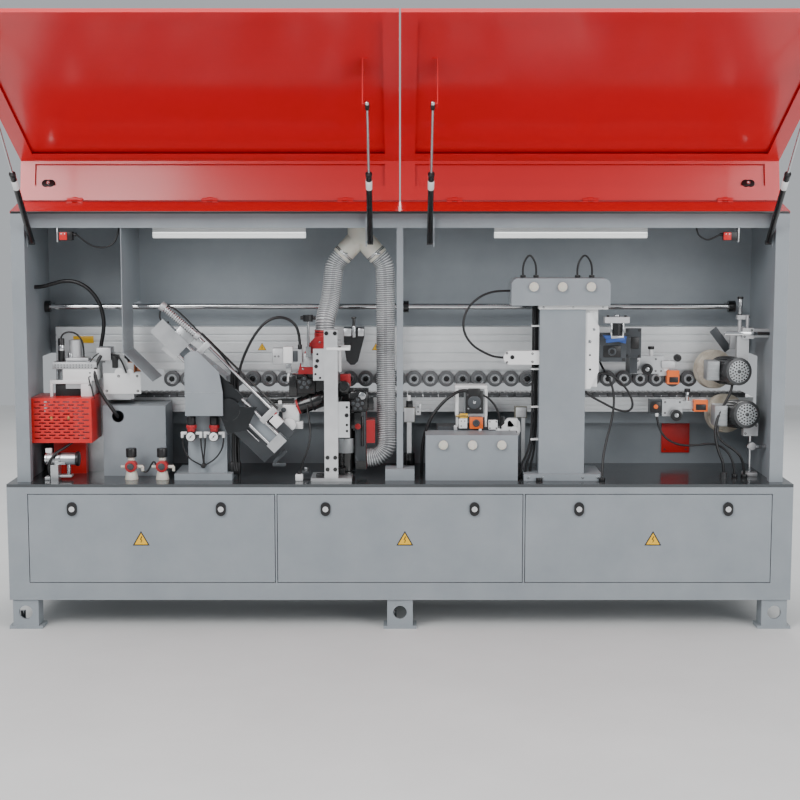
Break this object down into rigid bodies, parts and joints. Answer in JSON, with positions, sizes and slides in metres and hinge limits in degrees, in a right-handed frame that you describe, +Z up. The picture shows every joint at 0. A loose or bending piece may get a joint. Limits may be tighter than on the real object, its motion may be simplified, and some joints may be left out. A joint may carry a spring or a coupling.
{
  "type": "edge banding machine",
  "caption": "Straight-line edge banding machine with lift-up hoods, chain feed, roller pressure beam and glue, trimming, scraping and buffing units on a cabinet base.",
  "frame": {"origin": "centre of the four corner-foot anchor holes, on the floor", "axes": "+Z up, +X along the feed from the glue unit towards the buffing unit, -Y towards the hood side"},
  "size_m": [3.07, 1.48, 2.2918],
  "materials": {
    "body_grey": "satin blue-grey powder coat",
    "table_steel": "dark gloss",
    "hood_red": "gloss red powder coat",
    "black_plastic": "moulded",
    "lock_black": "moulded, chrome insert",
    "strut_black": "black gas spring tube",
    "chrome_rod": "polished",
    "aluminium": "machined",
    "beam_white": "off-white anodised extrusion",
    "pad_grey": "ribbed pads",
    "roller_rubber": "grey rubber tyres",
    "steel_bright": "ground",
    "cast_red": "painted casting",
    "duct_cream": "moulded",
    "hose_grey": "clear spiral hose",
    "motor_grey": "painted motor",
    "buff_cloth": "stitched cotton",
    "cable_black": "sheathed cable",
    "lamp_white": "opal tube"
  },
  "bodies": {
    "frame": {"baffle_plate": "body_grey", "base_cabinet": "body_grey", "buff_cable": "cable_black", "buff_units": "motor_grey", "chain_beam": "beam_white", "chain_pads": "pad_grey", "corner_box": "body_grey", "corner_column": "body_grey", "corner_unit": "aluminium", "duct_tee": "duct_cream", "dust_hoses": "hose_grey", "endcut_cable": "cable_black", "endcut_column": "body_grey", "endcut_guide": "aluminium", "feed_motor": "black_plastic", "feet": "body_grey", "glue_cover": "body_grey", "glue_guard": "hood_red", "glue_head": "aluminium", "glue_hose": "cable_black", "guide_bar": "chrome_rod", "header_frame": "body_grey", "lamps": "lamp_white", "left_side_wall": "body_grey", "loop_cable": "cable_black", "profile_cover": "body_grey", "profile_unit": "aluminium", "rear_housing": "body_grey", "regulators": "black_plastic", "right_side_wall": "body_grey", "scraper_units": "aluminium", "table_plate": "table_steel", "top_fascia": "hood_red", "trim_column": "aluminium", "trim_unit_lower": "cast_red", "trim_unit_upper": "cast_red"},
    "left_hood": {"left_hood": "hood_red"},
    "right_hood": {"right_hood": "hood_red"},
    "left_strut_tubes": {"left_strut_tubes": "strut_black"},
    "right_strut_tubes": {"right_strut_tubes": "strut_black"},
    "left_strut_rods": {"left_strut_rods": "chrome_rod"},
    "right_strut_rods": {"right_strut_rods": "chrome_rod"},
    "left_door": {"left_door": "body_grey"},
    "middle_door": {"middle_door": "body_grey"},
    "right_door": {"right_door": "body_grey"},
    "beam": {"pressure_beam": "beam_white", "pressure_rollers": "roller_rubber"},
    "endcut_carriage": {"endcut_carriage": "steel_bright"},
    "upper_buff_wheel": {"upper_buff_wheel": "buff_cloth"},
    "lower_buff_wheel": {"lower_buff_wheel": "buff_cloth"},
    "glue_roller": {"glue_roller": "steel_bright"},
    "upper_star_knob": {"upper_star_knob": "black_plastic"},
    "lower_star_knob": {"lower_star_knob": "black_plastic"},
    "height_knob": {"height_knob": "black_plastic"},
    "left_door_left_lock": {"left_door_left_lock": "lock_black"},
    "left_door_right_lock": {"left_door_right_lock": "lock_black"},
    "middle_door_left_lock": {"middle_door_left_lock": "lock_black"},
    "middle_door_right_lock": {"middle_door_right_lock": "lock_black"},
    "right_door_left_lock": {"right_door_left_lock": "lock_black"},
    "right_door_right_lock": {"right_door_right_lock": "lock_black"}
  },
  "joints": [
    {"name": "left_hood_swing", "type": "hinge", "parent": "frame", "child": "left_hood", "pos_m": [0, -0.175, 1.678], "axis": [-1, 0, 0], "range_deg": [-115, 0]},
    {"name": "left_strut_swing", "type": "hinge", "parent": "frame", "child": "left_strut_tubes", "pos_m": [0, -0.285, 1.511], "axis": [-1, 0, 0], "range_deg": [-141.72, 0]},
    {"name": "left_strut_slide", "type": "slide", "parent": "left_strut_tubes", "child": "left_strut_rods", "axis": [0, -0.7386, 0.6742], "range_m": [-0.1644, 0]},
    {"name": "right_hood_swing", "type": "hinge", "parent": "frame", "child": "right_hood", "pos_m": [0, -0.175, 1.678], "axis": [-1, 0, 0], "range_deg": [-115, 0]},
    {"name": "right_strut_swing", "type": "hinge", "parent": "frame", "child": "right_strut_tubes", "pos_m": [0, -0.285, 1.511], "axis": [-1, 0, 0], "range_deg": [-141.72, 0]},
    {"name": "right_strut_slide", "type": "slide", "parent": "right_strut_tubes", "child": "right_strut_rods", "axis": [0, -0.7386, 0.6742], "range_m": [-0.1644, 0]},
    {"name": "left_door_tilt", "type": "hinge", "parent": "frame", "child": "left_door", "pos_m": [0, -0.38, 0.1875], "axis": [1, 0, 0], "range_deg": [0, 90]},
    {"name": "middle_door_tilt", "type": "hinge", "parent": "frame", "child": "middle_door", "pos_m": [0, -0.38, 0.1875], "axis": [1, 0, 0], "range_deg": [0, 90]},
    {"name": "right_door_tilt", "type": "hinge", "parent": "frame", "child": "right_door", "pos_m": [0, -0.38, 0.1875], "axis": [1, 0, 0], "range_deg": [0, 90]},
    {"name": "left_door_left_lock_turn", "type": "hinge", "parent": "left_door", "child": "left_door_left_lock", "pos_m": [-1.277, -0.38, 0.48], "axis": [0, 1, 0], "range_deg": [0, 90]},
    {"name": "left_door_right_lock_turn", "type": "hinge", "parent": "left_door", "child": "left_door_right_lock", "pos_m": [-0.697, -0.38, 0.48], "axis": [0, 1, 0], "range_deg": [0, 90]},
    {"name": "middle_door_left_lock_turn", "type": "hinge", "parent": "middle_door", "child": "middle_door_left_lock", "pos_m": [-0.29, -0.38, 0.48], "axis": [0, 1, 0], "range_deg": [0, 90]},
    {"name": "middle_door_right_lock_turn", "type": "hinge", "parent": "middle_door", "child": "middle_door_right_lock", "pos_m": [0.29, -0.38, 0.48], "axis": [0, 1, 0], "range_deg": [0, 90]},
    {"name": "right_door_left_lock_turn", "type": "hinge", "parent": "right_door", "child": "right_door_left_lock", "pos_m": [0.697, -0.38, 0.48], "axis": [0, 1, 0], "range_deg": [0, 90]},
    {"name": "right_door_right_lock_turn", "type": "hinge", "parent": "right_door", "child": "right_door_right_lock", "pos_m": [1.277, -0.38, 0.48], "axis": [0, 1, 0], "range_deg": [0, 90]},
    {"name": "beam_lift", "type": "slide", "parent": "frame", "child": "beam", "axis": [0, 0, 1], "range_m": [-0.01, 0.04]},
    {"name": "endcut_travel", "type": "slide", "parent": "frame", "child": "endcut_carriage", "axis": [0.7071, 0, -0.7071], "range_m": [-0.06, 0.1]},
    {"name": "upper_buff_wheel_spin", "type": "hinge", "parent": "frame", "child": "upper_buff_wheel", "pos_m": [1.285, 0.005, 0.99], "axis": [-0.2283, 0.9723, -0.0507], "continuous": true},
    {"name": "lower_buff_wheel_spin", "type": "hinge", "parent": "frame", "child": "lower_buff_wheel", "pos_m": [1.335, 0.005, 0.808], "axis": [-0.1705, 0.9805, -0.098], "continuous": true},
    {"name": "glue_roller_spin", "type": "hinge", "parent": "frame", "child": "glue_roller", "pos_m": [-1.16, -0.03, 0.933], "axis": [0, 0, 1], "continuous": true},
    {"name": "upper_star_knob_turn", "type": "hinge", "parent": "frame", "child": "upper_star_knob", "pos_m": [-0.378, -0.22, 0.956], "axis": [0, 1, 0], "continuous": true},
    {"name": "lower_star_knob_turn", "type": "hinge", "parent": "frame", "child": "lower_star_knob", "pos_m": [-0.167, -0.22, 0.871], "axis": [0, 1, 0], "continuous": true},
    {"name": "height_knob_turn", "type": "hinge", "parent": "frame", "child": "height_knob", "pos_m": [-0.362, -0.225, 1.2], "axis": [0, 0, 1], "continuous": true}
  ],
  "couplings": [
    {"joint": "left_strut_swing", "follows": "left_hood_swing", "ratio": 1.2306},
    {"joint": "left_strut_slide", "follows": "left_hood_swing", "m_per_rad": 0.081748},
    {"joint": "right_strut_swing", "follows": "right_hood_swing", "ratio": 1.2306},
    {"joint": "right_strut_slide", "follows": "right_hood_swing", "m_per_rad": 0.081748}
  ]
}
